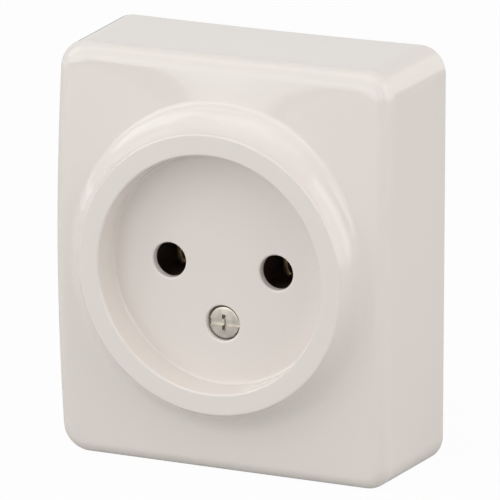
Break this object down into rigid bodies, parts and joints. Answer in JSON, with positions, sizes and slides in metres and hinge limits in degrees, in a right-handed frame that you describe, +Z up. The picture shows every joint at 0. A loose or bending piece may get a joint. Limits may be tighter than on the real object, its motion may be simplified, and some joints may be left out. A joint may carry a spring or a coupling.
{
  "type": "wall socket",
  "caption": "Surface-mounted wall socket with a crowned box cover, a raised round collar around a plug recess, two round pin holes and a centre cover screw.",
  "frame": {"origin": "point on the back face that lies against the wall, midway between the two pin holes seen from the front", "axes": "+Z up the wall, +Y into the wall, +X to the right seen from the front"},
  "size_m": [0.06, 0.0265, 0.0696],
  "materials": {
    "cover_plastic": "glossy warm off-white moulded plastic",
    "phenolic": "dark brown moulded phenolic",
    "fibre_board": "dull brown pressed insulating sheet",
    "brass": "rolled brass strip and turned brass",
    "zinc_steel": "zinc-plated steel",
    "spring_steel": "dark oiled spring steel"
  },
  "bodies": {
    "root": {"cover": "cover_plastic", "cover_screw": "zinc_steel", "cover_screw_bush": "brass", "base": "phenolic", "back_plate": "fibre_board", "contact_left": "brass", "contact_right": "brass", "contact_clip_left": "spring_steel", "contact_clip_right": "spring_steel", "contact_rivet_left": "brass", "contact_rivet_right": "brass", "clamp_plate_left": "zinc_steel", "clamp_plate_right": "zinc_steel", "spring_washer_left": "spring_steel", "spring_washer_right": "spring_steel", "terminal_screw_left": "zinc_steel", "terminal_screw_right": "zinc_steel", "terminal_nut_left": "zinc_steel", "terminal_nut_right": "zinc_steel", "back_plate_eyelet_left": "brass", "back_plate_eyelet_right": "brass"}
  },
  "joints": []
}
